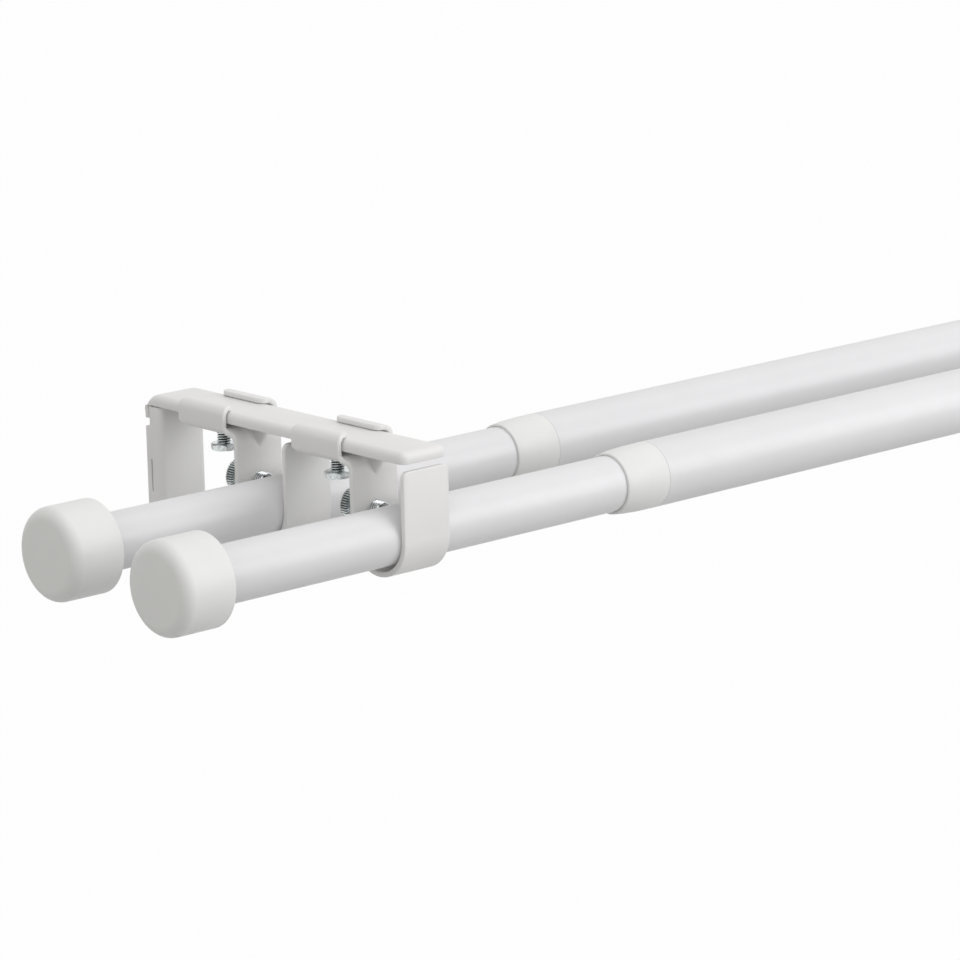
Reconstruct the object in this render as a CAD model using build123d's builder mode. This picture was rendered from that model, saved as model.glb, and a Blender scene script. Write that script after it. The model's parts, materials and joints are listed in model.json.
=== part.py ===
from build123d import *
import math
import os

# Double curtain rod: two telescopic tubes carried side by side by two wall brackets.
# Millimetres. X runs along the rods, +Y points to the wall, +Z is up.
# The origin is the middle of the left wall plate's two screw holes, on the wall.

# Telescopic tubes
inner_tube_d = 16.0
outer_tube_d = 19.0
inner_tube_wall = 0.7
outer_tube_wall = 0.7
inner_tube_length = 616.0
outer_tube_length = 668.0
exposed_length = 143.8

# Collar in the mouth of each outer tube
collar_length = 15.4
collar_mouth_d = 17.5
collar_taper = 8.0
spigot_length = 24.0
slide_clearance = 0.08
plug_clearance = 0.03

# End caps
cap_d = 26.0
cap_length = 16.5
cap_wall = 1.7
cap_face_wall = 2.6
cap_shoulder = 2.4
rib_setback = 0.6
cap_rib_count = 8
cap_rib_thickness = 1.4

# Where the rods hang
front_rod_reach = 102.0
rear_rod_reach = 52.5
left_cap_overhang = 68.1
rear_rod_shift = 3.8
rear_extra_pull = 2.1
right_cap_overhang = 65.2

# Bracket: a folded tray for the arm on a boxed leg
arm_top_z = 24.4
arm_width = 16.0
arm_height = 3.2
arm_reach = 111.5
bracket_sheet = 1.5
arm_corner_r = 2.4
arm_edge = 1.0
back_bend_r = 5.0
hook_strip_length = 7.0
seam_gap = 0.3
leg_height = 42.0
leg_depth = 7.0
leg_fold_r = 1.8
leg_tab_width = 12.0
notch_height = 2.3
notch_depth = 1.7
slit_width = 0.6
slit_length = 9.5
slit_inset = 2.1
slit_drop = 23.6

# Wall plate that the bracket hooks onto
plate_sheet = 2.0
plate_side_gap = 0.5
plate_foot_gap = 2.0
screw_spacing = 18.0
screw_hole_d = 4.5
tongue_gap = 0.4
tongue_top_drop = 4.0
joggle_z = 13.0

# Rod holder: one stamped strip with a sleeve for the arm and a hook for the rod
rod_drop = 24.4
sheet = 1.5
seat_gap = 0.25
hook_width = 16.2
lip_rise = 19.3
lip_corner_r = 2.2
bend_r = 4.5
sleeve_length = 20.0
sleeve_lead = 0.9
sleeve_side_gap = 0.4
sleeve_top_gap = 0.1
sleeve_bottom_gap = 1.4
sleeve_fold_r = 2.0
sleeve_slot_width = 10.0
sleeve_lip_corner_r = 2.3
sleeve_back_r = 2.3
sleeve_top_r = 1.4
gusset_depth = 2.3
gusset_half_width = 2.9
gusset_overlap = 0.2

# Screws
thumb_d = 5.0
bolt_d = 4.0
thread_clearance = 0.06
tip_gap = 0.12
bolt_setback = 11.2
bolt_head_drop = 5.6
bolt_head_height = 1.8
bolt_head_flats = 7.0
bolt_head_chamfer = 0.4
thumb_height = 4.5
thumb_shank_length = 10.3
thumb_head_d = 10.0
thumb_head_length = 3.0
knurl_count = 20
knurl_depth = 0.45

# Worked out from the sizes above
inner_r = inner_tube_d / 2
outer_r = outer_tube_d / 2
outer_bore_r = outer_r - outer_tube_wall
rod_z = arm_top_z - rod_drop
arm_under_z = arm_top_z - arm_height
arm_ceiling_z = arm_top_z - bracket_sheet
arm_inner_width = arm_width - 2 * bracket_sheet
leg_bottom_z = arm_top_z - leg_height
leg_top_z = arm_under_z - seam_gap
strip_bottom_z = arm_top_z - hook_strip_length
notch_bottom_z = strip_bottom_z - notch_height
hook_r = outer_r + seat_gap
hook_outer_r = hook_r + sheet
bend_inner_r = bend_r - sheet
sleeve_bottom_z = arm_under_z - sleeve_bottom_gap - sheet
sleeve_floor_z = arm_under_z - sleeve_bottom_gap
sleeve_top_z = arm_top_z + sleeve_top_gap + sheet
sleeve_inner_width = arm_width + 2 * sleeve_side_gap
bend_end = hook_r + bend_r
sleeve_front = bend_end - sleeve_lead
thumb_hole_r = thumb_d / 2 + thread_clearance
bolt_hole_r = bolt_d / 2 + thread_clearance
plate_width = arm_inner_width - 2 * plate_side_gap
tube_end_depth = cap_length - cap_face_wall
outer_tube_start = exposed_length + collar_length
right_rim = outer_tube_start + outer_tube_length - tube_end_depth


def side_plane(x, y, z):
    """A plane across the rods: its own x runs to the wall and its own y runs up."""
    return Plane(origin=(x, y, z), x_dir=(0, 1, 0), z_dir=(1, 0, 0))


def room_plane(x, y, z):
    """A plane that faces the room: its own x runs along the rods and its own y runs up."""
    return Plane(origin=(x, y, z), x_dir=(1, 0, 0), z_dir=(0, -1, 0))


def rod_plane(x, y):
    """A plane through a rod's axis: its own x runs along the rod and its own y is the radius."""
    return Plane(origin=(x, y, rod_z), x_dir=(1, 0, 0), z_dir=(0, -1, 0))


def save(part, name):
    part.label = name
    export_step(part, f"parts/{name}.step")


def build_wall_plate(x):
    """The plate screwed to the wall, with a joggled tongue that the bracket hooks over."""
    tongue_back = -bracket_sheet - tongue_gap
    tongue_face = tongue_back - plate_sheet
    tongue_top = arm_top_z - tongue_top_drop
    foot = leg_bottom_z + plate_foot_gap
    joggle_end = joggle_z - tongue_back
    face_shift = plate_sheet * math.tan(math.pi / 8)
    with BuildPart() as plate:
        with BuildSketch(side_plane(x, 0, 0)):
            with BuildLine():
                Polyline(
                    (0, foot),
                    (0, joggle_z),
                    (tongue_back, joggle_end),
                    (tongue_back, tongue_top),
                    (tongue_face, tongue_top),
                    (tongue_face, joggle_end - face_shift),
                    (-plate_sheet, joggle_z - face_shift),
                    (-plate_sheet, foot),
                    close=True,
                )
            make_face()
        extrude(amount=plate_width / 2, both=True)
        with BuildSketch(room_plane(x, 0, 0)):
            with GridLocations(screw_spacing, screw_spacing, 1, 2):
                Circle(screw_hole_d / 2)
        extrude(amount=plate_sheet, mode=Mode.SUBTRACT)
    return plate.part


def build_bracket(x):
    """The arm's tray, turned down at the wall as a hook strip, on a boxed leg."""
    half = arm_width / 2
    with BuildPart() as bracket:
        # Arm as a full bar with the turned-down strip at its back
        with BuildSketch(side_plane(x, 0, 0)):
            with BuildLine():
                top = Line((-arm_reach, arm_top_z), (-back_bend_r, arm_top_z))
                bend = TangentArc(top @ 1, (0, arm_top_z - back_bend_r), tangent=top % 1)
                Polyline(
                    bend @ 1,
                    (0, strip_bottom_z),
                    (-bracket_sheet, strip_bottom_z),
                    (-bracket_sheet, arm_under_z),
                    (-arm_reach, arm_under_z),
                    top @ 0,
                )
            make_face()
        extrude(amount=half, both=True)
        front_corners = bracket.faces().sort_by(Axis.Y)[0].edges().filter_by(Axis.Z)
        fillet(front_corners, arm_corner_r)
        chamfer(bracket.faces().sort_by(Axis.Z)[-1].edges().filter_by(Axis.Y), arm_edge)

        # Hollow underside
        with BuildSketch(side_plane(x, 0, 0)):
            with BuildLine():
                ceiling = Line((bracket_sheet - arm_reach, arm_ceiling_z), (-back_bend_r, arm_ceiling_z))
                inner_bend = TangentArc(
                    ceiling @ 1,
                    (-bracket_sheet, arm_top_z - back_bend_r),
                    tangent=ceiling % 1,
                )
                Polyline(
                    inner_bend @ 1,
                    (-bracket_sheet, arm_top_z - arm_height - back_bend_r),
                    (bracket_sheet - arm_reach, arm_top_z - arm_height - back_bend_r),
                    ceiling @ 0,
                )
            make_face()
        extrude(amount=arm_inner_width / 2, both=True, mode=Mode.SUBTRACT)

        # Leg: a front plate with two flanges folded back to the wall, cut short beside the strip
        for start_z, end_z, back_y in (
            (leg_bottom_z, notch_bottom_z, 0),
            (notch_bottom_z, leg_top_z, -notch_depth),
        ):
            with BuildSketch(Plane.XY.offset(start_z)):
                with BuildLine():
                    Polyline(
                        (x - half, back_y),
                        (x - half, -leg_depth),
                        (x + half, -leg_depth),
                        (x + half, back_y),
                        (x + half - bracket_sheet, back_y),
                        (x + half - bracket_sheet, bracket_sheet - leg_depth),
                        (x - half + bracket_sheet, bracket_sheet - leg_depth),
                        (x - half + bracket_sheet, back_y),
                        close=True,
                    )
                folds = make_face().vertices().group_by(Axis.Y)[0]
                fillet(folds, leg_fold_r)
            extrude(amount=end_z - start_z)

        # Tab that ties the leg's front plate to the tray
        with BuildSketch(room_plane(x, bracket_sheet - leg_depth, leg_top_z)):
            Rectangle(leg_tab_width, arm_ceiling_z - leg_top_z, align=(Align.CENTER, Align.MIN))
        extrude(amount=bracket_sheet)

        # Slit that frees a springy edge along each flange
        with BuildSketch(side_plane(x, 0, 0)):
            with Locations((-slit_inset, arm_top_z - slit_drop)):
                SlotOverall(slit_length, slit_width, rotation=90)
        extrude(amount=arm_width, both=True, mode=Mode.SUBTRACT)
    return bracket.part


def build_holder(x, hook_y):
    """The stamped holder: sleeve round the arm, stiffened bend, and hook under the rod."""
    bend_z = sleeve_floor_z - rod_z - bend_r
    sleeve_mid_z = (sleeve_bottom_z + sleeve_top_z) / 2
    valley = bend_r - gusset_depth
    ridge = valley - sheet
    rib_top = bend_inner_r + gusset_overlap
    flare = gusset_half_width / gusset_depth
    with BuildPart() as holder:
        # Sleeve: an open channel with two lips over the arm
        with BuildSketch(room_plane(x, hook_y + sleeve_front, sleeve_mid_z)):
            RectangleRounded(
                sleeve_inner_width + 2 * sheet,
                sleeve_top_z - sleeve_bottom_z,
                sleeve_fold_r,
            )
            with Locations((0, (sleeve_floor_z + sleeve_top_z - sheet) / 2 - sleeve_mid_z)):
                Rectangle(sleeve_inner_width, sleeve_top_z - sheet - sleeve_floor_z, mode=Mode.SUBTRACT)
            with Locations((0, sleeve_top_z - sleeve_mid_z)):
                Rectangle(sleeve_slot_width, 2 * sheet, mode=Mode.SUBTRACT)
        extrude(amount=-sleeve_length)
        lip_ends = holder.edges().filter_by(Axis.Z).filter_by(
            lambda edge: abs(abs(edge.center().X - x) - sleeve_slot_width / 2) < sheet / 2
        )
        fillet(lip_ends, sleeve_lip_corner_r)
        with BuildSketch(side_plane(x, hook_y + sleeve_front, sleeve_bottom_z)):
            outline = Rectangle(
                sleeve_length,
                sleeve_top_z - sleeve_bottom_z,
                align=(Align.MIN, Align.MIN),
            )
            corners = outline.vertices().sort_by(Axis.Z)
            wall_side = corners.sort_by(Axis.Y)[2:].sort_by(Axis.Z)
            fillet(wall_side[0], sleeve_back_r)
            tops = outline.vertices().group_by(Axis.Z)[-1]
            fillet(tops, sleeve_top_r)
        extrude(amount=arm_width, both=True, mode=Mode.INTERSECT)

        # Hook: lip, cradle, back plate and the bend up into the sleeve's floor
        with BuildSketch(side_plane(x, hook_y, rod_z)):
            with BuildLine():
                lip = Line((-hook_r, lip_rise), (-hook_r, 0))
                cradle = TangentArc(lip @ 1, (hook_r, 0), tangent=lip % 1)
                plate = Line(cradle @ 1, (hook_r, bend_z))
                bend = TangentArc(plate @ 1, (bend_end, bend_z + bend_r), tangent=plate % 1)
                floor = Line(bend @ 1, (bend_end + bend_r, bend_z + bend_r))
                floor_end = Line(floor @ 1, (bend_end + bend_r, bend_z + bend_inner_r))
                under = Line(floor_end @ 1, (bend_end, bend_z + bend_inner_r))
                inner_bend = TangentArc(under @ 1, (hook_outer_r, bend_z), tangent=under % 1)
                back = Line(inner_bend @ 1, (hook_outer_r, 0))
                outer_cradle = TangentArc(back @ 1, (-hook_outer_r, 0), tangent=back % 1)
                lip_face = Line(outer_cradle @ 1, (-hook_outer_r, lip_rise))
                Line(lip_face @ 1, lip @ 0)
            make_face()
        extrude(amount=hook_width / 2, both=True)
        lip_corners = holder.faces().filter_by(Axis.Z).filter_by(
            lambda face: abs(face.center().Y - (hook_y - hook_r - sheet / 2)) < sheet / 2
        )
        fillet(lip_corners.edges().filter_by(Axis.Y), lip_corner_r)

        # Gusset pressed into the bend: a rib behind and a dent in front
        gusset = Plane(
            origin=(x, hook_y + bend_end, rod_z + bend_z),
            x_dir=(1, 0, 0),
            z_dir=(0, -1, -1),
        )
        with BuildSketch(gusset):
            with BuildLine():
                Polyline(
                    (0, ridge),
                    ((rib_top - ridge) * flare, rib_top),
                    ((ridge - rib_top) * flare, rib_top),
                    close=True,
                )
            make_face()
        extrude(amount=math.sqrt(2) * bend_r - rib_top, both=True)
        with BuildSketch(gusset):
            with BuildLine():
                Polyline(
                    (0, valley),
                    (bend_r * flare, valley + bend_r),
                    (-bend_r * flare, valley + bend_r),
                    close=True,
                )
            make_face()
        extrude(amount=2 * bend_r, both=True, mode=Mode.SUBTRACT)

        # Threaded holes for the thumb screw and the clamp bolt
        with BuildSketch(room_plane(x, hook_y + hook_r, rod_z + thumb_height)):
            Circle(thumb_hole_r)
        extrude(amount=-2 * sheet, mode=Mode.SUBTRACT)
        with BuildSketch(Plane.XY.offset(sleeve_bottom_z)):
            with Locations((x, hook_y + bend_end + bolt_setback)):
                Circle(bolt_hole_r)
        extrude(amount=sheet, mode=Mode.SUBTRACT)
    return holder.part


def build_clamp_bolt(x, hook_y):
    """The hexagon bolt that presses the arm up against the sleeve's lips."""
    y = hook_y + bend_end + bolt_setback
    bearing_z = sleeve_bottom_z - bolt_head_drop
    tip_z = arm_ceiling_z - tip_gap
    with BuildPart() as bolt:
        with BuildSketch(Plane.XY.offset(bearing_z)):
            with Locations((x, y)):
                RegularPolygon(bolt_head_flats / 2, 6, major_radius=False)
        extrude(amount=-bolt_head_height)
        chamfer(bolt.faces().sort_by(Axis.Z)[0].edges(), bolt_head_chamfer)
        with BuildSketch(Plane.XY.offset(bearing_z)):
            with Locations((x, y)):
                Circle(bolt_d / 2)
        extrude(amount=tip_z - bearing_z)
    return bolt.part


def build_thumb_screw(x, rod_y, tube_r):
    """The knurled screw that presses the rod against the hook's lip."""
    tip_low = thumb_height - thumb_d / 2
    tip_y = rod_y + math.sqrt(tube_r**2 - tip_low**2) + tip_gap
    head_y = tip_y + thumb_shank_length
    head_r = thumb_head_d / 2
    with BuildPart() as thumb:
        with BuildSketch(room_plane(x, head_y, rod_z + thumb_height)):
            Circle(thumb_d / 2)
        extrude(amount=thumb_shank_length)
        head = room_plane(x, head_y, rod_z + thumb_height)
        with BuildSketch(head):
            Circle(head_r)
            with PolarLocations(head_r, knurl_count):
                RegularPolygon(knurl_depth, 4, mode=Mode.SUBTRACT)
        extrude(amount=-thumb_head_length)
    return thumb.part


def build_tube(x, rod_y, radius, wall, length):
    with BuildPart() as tube:
        with BuildSketch(side_plane(x, rod_y, rod_z)):
            Circle(radius)
            Circle(radius - wall, mode=Mode.SUBTRACT)
        extrude(amount=length)
    return tube.part


def build_collar(x, rod_y):
    """The moulded ring in the outer tube's mouth, with a spigot that guides the inner tube."""
    bore = inner_r + slide_clearance
    spigot = outer_bore_r - plug_clearance
    with BuildPart() as collar:
        with BuildSketch(rod_plane(x, rod_y)):
            with BuildLine():
                Polyline(
                    (0, bore),
                    (0, collar_mouth_d / 2),
                    (collar_taper, outer_r),
                    (collar_length, outer_r),
                    (collar_length, spigot),
                    (collar_length + spigot_length, spigot),
                    (collar_length + spigot_length, bore),
                    close=True,
                )
            make_face()
        revolve(axis=Axis((x, rod_y, rod_z), (1, 0, 0)))
    return collar.part


def build_cap(rim_x, rod_y, tube_r, side):
    """A push-on end cap: a thin cup whose inner ribs grip the tube. side is -1 at the left end."""
    cup_r = cap_d / 2
    face_x = side * cap_length
    floor_x = side * tube_end_depth
    with BuildPart() as cap:
        with BuildSketch(rod_plane(rim_x, rod_y)):
            with BuildLine():
                Polyline(
                    (0, cup_r - cap_wall),
                    (0, cup_r),
                    (face_x - side * cap_shoulder, cup_r),
                    (face_x, cup_r - cap_shoulder),
                    (face_x, 0),
                    (floor_x, 0),
                    (floor_x, cup_r - cap_wall),
                    close=True,
                )
            make_face()
        revolve(axis=Axis((rim_x, rod_y, rod_z), (1, 0, 0)))
        rib_foot = tube_r + plug_clearance
        rib_reach = cup_r - cap_wall / 2 - rib_foot
        with BuildSketch(side_plane(rim_x + floor_x, rod_y, rod_z)):
            with PolarLocations(rib_foot + rib_reach / 2, cap_rib_count):
                Rectangle(rib_reach, cap_rib_thickness)
            Circle(rib_foot, mode=Mode.SUBTRACT)
        extrude(amount=-side * (tube_end_depth - rib_setback))
    return cap.part


bracket_x = {"left": 0.0, "right": right_rim - left_cap_overhang - right_cap_overhang}
tube_in_hook = {"left": inner_r, "right": outer_r}
rods = {
    "front": (-front_rod_reach, 0.0, 0.0),
    "rear": (-rear_rod_reach, rear_rod_shift, rear_extra_pull),
}

for end, x in bracket_x.items():
    save(build_wall_plate(x), f"{end}_wall_plate")
    save(build_bracket(x), f"{end}_bracket")

for rod, (rod_y, shift, extra_pull) in rods.items():
    rim_x = shift - left_cap_overhang
    inner_rim_x = rim_x - extra_pull
    outer_x = rim_x + outer_tube_start
    save(
        build_tube(inner_rim_x - tube_end_depth, rod_y, inner_r, inner_tube_wall, inner_tube_length),
        f"{rod}_inner_tube",
    )
    save(build_tube(outer_x, rod_y, outer_r, outer_tube_wall, outer_tube_length), f"{rod}_outer_tube")
    save(build_collar(rim_x + exposed_length, rod_y), f"{rod}_collar")
    save(build_cap(inner_rim_x, rod_y, inner_r, -1), f"left_{rod}_cap")
    save(build_cap(rim_x + right_rim, rod_y, outer_r, 1), f"right_{rod}_cap")
    for end, x in bracket_x.items():
        hook_y = rod_y + outer_r - tube_in_hook[end]
        save(build_holder(x, hook_y), f"{end}_{rod}_holder")
        save(build_clamp_bolt(x, hook_y), f"{end}_{rod}_clamp_bolt")
        save(build_thumb_screw(x, rod_y, tube_in_hook[end]), f"{end}_{rod}_thumb_screw")
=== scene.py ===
# %% [markdown]
# # Dressing a double curtain rod
# The CAD model gives every piece of this curtain rod its true size and place.
# This lesson rebuilds the pieces that show with rounder folds, real threads and knurls,
# and gives each one a painted, moulded or plated finish.
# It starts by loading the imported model, because everything else is placed from it.

# %% Load the frame
import json
import math

import bmesh
import bpy
from mathutils import Matrix, Vector


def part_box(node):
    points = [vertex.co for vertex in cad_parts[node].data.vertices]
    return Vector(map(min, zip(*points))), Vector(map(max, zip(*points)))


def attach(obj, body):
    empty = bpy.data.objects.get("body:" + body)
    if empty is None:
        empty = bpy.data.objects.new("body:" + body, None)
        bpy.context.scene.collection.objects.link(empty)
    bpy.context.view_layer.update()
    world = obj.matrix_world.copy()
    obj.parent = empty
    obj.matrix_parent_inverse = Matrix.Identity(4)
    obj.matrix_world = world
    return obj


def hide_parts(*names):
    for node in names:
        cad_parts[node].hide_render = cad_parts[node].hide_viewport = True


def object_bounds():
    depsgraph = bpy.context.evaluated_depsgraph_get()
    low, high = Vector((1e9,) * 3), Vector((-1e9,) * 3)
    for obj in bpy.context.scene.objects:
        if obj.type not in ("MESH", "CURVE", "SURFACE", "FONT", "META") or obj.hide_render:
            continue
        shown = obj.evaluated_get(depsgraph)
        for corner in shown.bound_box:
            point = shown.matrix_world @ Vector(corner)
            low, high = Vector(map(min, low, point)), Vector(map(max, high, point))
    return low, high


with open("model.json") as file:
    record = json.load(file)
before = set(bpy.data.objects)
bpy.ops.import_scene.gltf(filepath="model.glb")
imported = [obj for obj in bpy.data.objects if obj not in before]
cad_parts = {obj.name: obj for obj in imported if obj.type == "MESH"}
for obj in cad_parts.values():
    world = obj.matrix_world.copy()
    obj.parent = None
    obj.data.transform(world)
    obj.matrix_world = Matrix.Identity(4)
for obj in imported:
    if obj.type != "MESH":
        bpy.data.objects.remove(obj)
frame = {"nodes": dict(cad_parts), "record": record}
cad_low, cad_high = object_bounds()
bodies = frame["record"]["behaviour"]["bodies"]
body_of_node = {node: body for body, nodes in bodies.items() for node in nodes}
print(f"{len(body_of_node)} nodes on {len(bodies)} bodies")

# %% [markdown]
# ## Working in millimetres
# The frame is in metres, but sheet metal is drawn in millimetres, and small numbers are
# hard to read. So each mesh is modelled in millimetres and scaled once, when it is kept.
# A kept piece sits at the origin, rides on the body of the CAD node that it stands for,
# and is shaded smooth except along edges that turn sharply.

# %% Helpers that place and keep a piece
MILLIMETRES = 1000.0
SHARP_ANGLE = math.radians(35)


def corners(node):
    """The lowest and highest corner of a CAD node, in millimetres."""
    low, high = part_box(node)
    return low * MILLIMETRES, high * MILLIMETRES


def keep_piece(bm, node, finish):
    """Turn a bmesh into the piece that stands for a CAD node."""
    bmesh.ops.scale(bm, vec=Vector((1, 1, 1)) / MILLIMETRES, verts=bm.verts)
    mesh = bpy.data.meshes.new(f"{node}_shape")
    bm.to_mesh(mesh)
    bm.free()
    mesh.shade_smooth()
    mesh.set_sharp_from_angle(angle=SHARP_ANGLE)
    mesh.materials.append(finish)
    piece = bpy.data.objects.new(f"{node}_shape", mesh)
    bpy.context.collection.objects.link(piece)
    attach(piece, body_of_node[node])
    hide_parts(node)
    print(f"{piece.name}: {len(mesh.polygons)} faces")
    return piece


print(f"edges over {math.degrees(SHARP_ANGLE):.0f} degrees stay sharp")

# %% [markdown]
# ## Paint and plastic
# The tubes, the stamped steel and the moulded caps are all off-white, and differ in how
# smooth they are: satin paint on the tubes, a powder coat with a faint orange peel on the
# stampings, and plastic with a fine mould grain. One function makes all three. It reads
# Object coordinates, which are metres here, so the grain has a real size. A slow noise
# shifts the colour and the roughness a little, and a fast one lifts the surface.

# %% A coated surface
NOISE_LOW, NOISE_HIGH = 0.3, 0.7
TONE_MM, TONE_CHANGE = 18, 0.012
HANDLING_MM, HANDLING_CHANGE = 5, 0.05
GRAIN_STRENGTH = 0.5


def link(tree, source, output, target, socket):
    tree.links.new(source.outputs[output], target.inputs[socket])


def noise(tree, place, size_mm, detail):
    """Noise whose blobs are about size_mm across."""
    node = tree.nodes.new("ShaderNodeTexNoise")
    node.inputs["Scale"].default_value = MILLIMETRES / size_mm
    node.inputs["Detail"].default_value = detail
    link(tree, place, "Object", node, "Vector")
    return node


def spread(tree, source, low, high):
    """Map the middle of a noise onto the range from low to high."""
    node = tree.nodes.new("ShaderNodeMapRange")
    node.inputs["From Min"].default_value = NOISE_LOW
    node.inputs["From Max"].default_value = NOISE_HIGH
    node.inputs["To Min"].default_value = low
    node.inputs["To Max"].default_value = high
    link(tree, source, "Fac", node, "Value")
    return node


def tint(tree, source, colour, change):
    """Fade a colour between a slightly darker and a slightly lighter tone."""
    ramp = tree.nodes.new("ShaderNodeValToRGB")
    ramp.color_ramp.elements[0].position = NOISE_LOW
    ramp.color_ramp.elements[1].position = NOISE_HIGH
    ramp.color_ramp.elements[0].color = (*[part * (1 - change) for part in colour], 1)
    ramp.color_ramp.elements[1].color = (*[part * (1 + change) for part in colour], 1)
    link(tree, source, "Fac", ramp, "Fac")
    return ramp


def coated(name, colour, roughness, grain_mm, grain_height_mm):
    """A painted or moulded surface with colour, roughness and grain of its own."""
    finish = bpy.data.materials.new(name)
    finish.use_nodes = True
    tree = finish.node_tree
    surface = tree.nodes["Principled BSDF"]
    place = tree.nodes.new("ShaderNodeTexCoord")
    tone = noise(tree, place, TONE_MM, detail=3)
    link(tree, tint(tree, tone, colour, TONE_CHANGE), "Color", surface, "Base Color")
    handling = noise(tree, place, HANDLING_MM, detail=4)
    worn = spread(tree, handling, roughness - HANDLING_CHANGE, roughness + HANDLING_CHANGE)
    link(tree, worn, "Result", surface, "Roughness")
    grain = noise(tree, place, grain_mm, detail=2)
    bump = tree.nodes.new("ShaderNodeBump")
    bump.inputs["Strength"].default_value = GRAIN_STRENGTH
    bump.inputs["Distance"].default_value = grain_height_mm / MILLIMETRES
    link(tree, grain, "Fac", bump, "Height")
    link(tree, bump, "Normal", surface, "Normal")
    return finish


# %% The three off-white finishes
rod_paint = coated("rod_paint", (0.79, 0.79, 0.80), 0.36, 1.6, 0.012)
bracket_paint = coated("bracket_paint", (0.80, 0.80, 0.79), 0.42, 0.7, 0.03)
cap_plastic = coated("cap_plastic", (0.80, 0.805, 0.79), 0.48, 0.35, 0.012)
print("coated finishes:", rod_paint.name, bracket_paint.name, cap_plastic.name)

# %% [markdown]
# ## Zinc on the screws
# The clamp bolts and thumb screws are steel with a thin bright zinc layer. It is a metal,
# so its colour is in its reflections, and it isn't polished: the crystals of the plating
# differ in roughness. A cell pattern gives the crystals, and a fast noise the scuffs.
# The grooves of threads and knurls are painted darker, as painted shade where light would
# not reach. Each screw carries a value for that on its own points, the groove shade
# attribute, and the finish is painted darker where the value is high.

# %% Bright zinc
# painted shade: the near-black colour that the grooves of threads and knurls are mixed to
PAINTED_GROOVE_SHADE = (0.03, 0.032, 0.032)
ZINC_TONE_MM, ZINC_TONE_CHANGE = 0.9, 0.25
CRYSTAL_MM = 0.6
SMOOTHEST, ROUGHEST = -0.07, 0.08
SCUFF_MM, SCUFF_DEPTH_MM, SCUFF_STRENGTH = 0.25, 0.01, 0.4


def plated(name, colour, roughness):
    """A plated metal with painted shade in its grooves."""
    finish = bpy.data.materials.new(name)
    finish.use_nodes = True
    tree = finish.node_tree
    surface = tree.nodes["Principled BSDF"]
    surface.inputs["Metallic"].default_value = 1.0
    place = tree.nodes.new("ShaderNodeTexCoord")
    # painted shade: each point's groove value mixes the zinc tone towards the dark colour
    groove_shade = tree.nodes.new("ShaderNodeAttribute")
    groove_shade.attribute_name = "groove_shade"
    shade = tree.nodes.new("ShaderNodeMix")
    shade.data_type = "RGBA"
    link(tree, groove_shade, "Fac", shade, "Factor")
    tone = noise(tree, place, ZINC_TONE_MM, detail=3)
    bright = tint(tree, tone, colour, ZINC_TONE_CHANGE)
    link(tree, bright, "Color", shade, "A")
    shade.inputs["B"].default_value = (*PAINTED_GROOVE_SHADE, 1)
    link(tree, shade, "Result", surface, "Base Color")
    crystals = tree.nodes.new("ShaderNodeTexVoronoi")
    crystals.inputs["Scale"].default_value = MILLIMETRES / CRYSTAL_MM
    link(tree, place, "Object", crystals, "Vector")
    dull = tree.nodes.new("ShaderNodeMapRange")
    dull.inputs["To Min"].default_value = roughness + SMOOTHEST
    dull.inputs["To Max"].default_value = roughness + ROUGHEST
    link(tree, crystals, "Distance", dull, "Value")
    link(tree, dull, "Result", surface, "Roughness")
    bump = tree.nodes.new("ShaderNodeBump")
    bump.inputs["Strength"].default_value = SCUFF_STRENGTH
    bump.inputs["Distance"].default_value = SCUFF_DEPTH_MM / MILLIMETRES
    link(tree, noise(tree, place, SCUFF_MM, detail=2), "Fac", bump, "Height")
    link(tree, bump, "Normal", surface, "Normal")
    return finish


zinc = plated("zinc", (0.74, 0.78, 0.78), 0.24)
print("plated finish:", zinc.name)

# %% [markdown]
# ## Round pieces on the rod's axis
# Tubes, caps and collars are turned shapes, so half a section spun once round the rod's
# axis makes them. Spinning a few points and then bevelling the rings is easier to change
# than drawing every arc in the section. The spin merges its first and last section, and
# the doubles on the axis are merged before the normals are made to point outwards.

# %% Spin and bevel helpers
TURN_STEPS = 96
NEAR = 0.01


def bmesh_verts(edges):
    """The vertices of some edges, each once and in order."""
    return list(dict.fromkeys(vert for edge in edges for vert in edge.verts))


def round_edges(bm, edges, radius, segments):
    """Bevel some edges to a round."""
    bmesh.ops.bevel(
        bm,
        geom=edges,
        offset=radius,
        segments=segments,
        profile=0.5,
        affect="EDGES",
        material=-1,
    )


def turned(section, axis, closed):
    """Spin a section of (x, radius) points round a rod's axis."""
    bm = bmesh.new()
    points = [bm.verts.new((x, axis.y, axis.z + radius)) for x, radius in section]
    ends = points[1:] + points[:1] if closed else points[1:]
    edges = [bm.edges.new(pair) for pair in zip(points, ends)]
    bmesh.ops.spin(
        bm,
        geom=points + edges,
        cent=axis,
        axis=(1, 0, 0),
        angle=math.tau,
        steps=TURN_STEPS,
        use_merge=True,
    )
    bmesh.ops.remove_doubles(bm, verts=bm.verts, dist=NEAR / 10)
    bmesh.ops.recalc_face_normals(bm, faces=bm.faces)
    return bm


def ring(bm, axis, x, radius):
    """The edges of one ring of a turned shape."""
    def on_ring(vert):
        reach = math.hypot(vert.co.y - axis.y, vert.co.z - axis.z)
        return abs(vert.co.x - x) < NEAR and abs(reach - radius) < NEAR

    return [edge for edge in bm.edges if all(on_ring(vert) for vert in edge.verts)]


def rod_axis(node):
    """The middle of a turned node's box."""
    low, high = corners(node)
    return (low + high) / 2


print(f"turned shapes have {TURN_STEPS} sides")

# %% [markdown]
# ## Tubes
# Each rod is a thin tube that slides in a wider one. The wall is a closed section, so the
# tube is hollow for anyone who looks into it, and its cut ends are slightly broken.

# %% Make the four tubes
TUBE_WALL = 0.7
TUBE_END_BREAK = 0.3

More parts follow.
